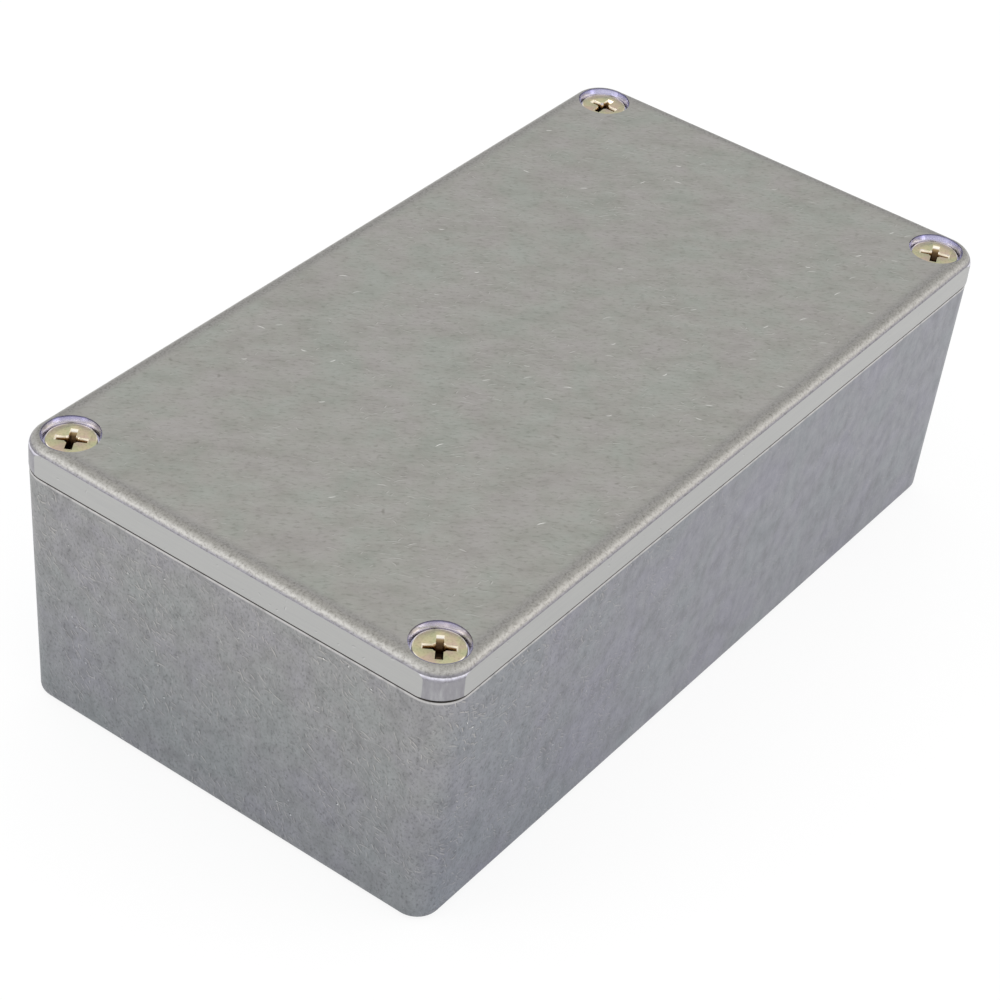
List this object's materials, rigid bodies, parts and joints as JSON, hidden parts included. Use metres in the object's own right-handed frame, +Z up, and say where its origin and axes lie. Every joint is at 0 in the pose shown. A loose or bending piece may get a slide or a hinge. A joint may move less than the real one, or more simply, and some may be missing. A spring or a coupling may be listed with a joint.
{
  "type": "die cast aluminium enclosure",
  "caption": "Oblong die cast aluminium box with rounded corners, a flat lid that laps into the base, and countersunk cross-head screws at the corners.",
  "frame": {"origin": "middle of the base's underside", "axes": "+X along the box's length, +Y along its width, +Z up out of the lid"},
  "size_m": [0.12, 0.065, 0.04],
  "materials": {
    "cast_base": "as die cast, bluish grey with faint flow marks",
    "cast_lid": "die cast, tumbled satin face with linished straight edges",
    "plated_screw": "zinc plated and pale yellow passivated"
  },
  "bodies": {
    "base": {"base": "cast_base"},
    "lid": {"lid": "cast_lid"},
    "screw_front_left": {"screw_front_left": "plated_screw"},
    "screw_front_right": {"screw_front_right": "plated_screw"},
    "screw_rear_left": {"screw_rear_left": "plated_screw"},
    "screw_rear_right": {"screw_rear_right": "plated_screw"}
  },
  "joints": [
    {"name": "lid_lift", "type": "slide", "parent": "base", "child": "lid", "axis": [0, 0, 1], "range_m": [0, 0.045]},
    {"name": "screw_front_left_draw", "type": "slide", "parent": "lid", "child": "screw_front_left", "axis": [0, 0, 1], "range_m": [0, 0.015]},
    {"name": "screw_front_right_draw", "type": "slide", "parent": "lid", "child": "screw_front_right", "axis": [0, 0, 1], "range_m": [0, 0.015]},
    {"name": "screw_rear_left_draw", "type": "slide", "parent": "lid", "child": "screw_rear_left", "axis": [0, 0, 1], "range_m": [0, 0.015]},
    {"name": "screw_rear_right_draw", "type": "slide", "parent": "lid", "child": "screw_rear_right", "axis": [0, 0, 1], "range_m": [0, 0.015]}
  ]
}
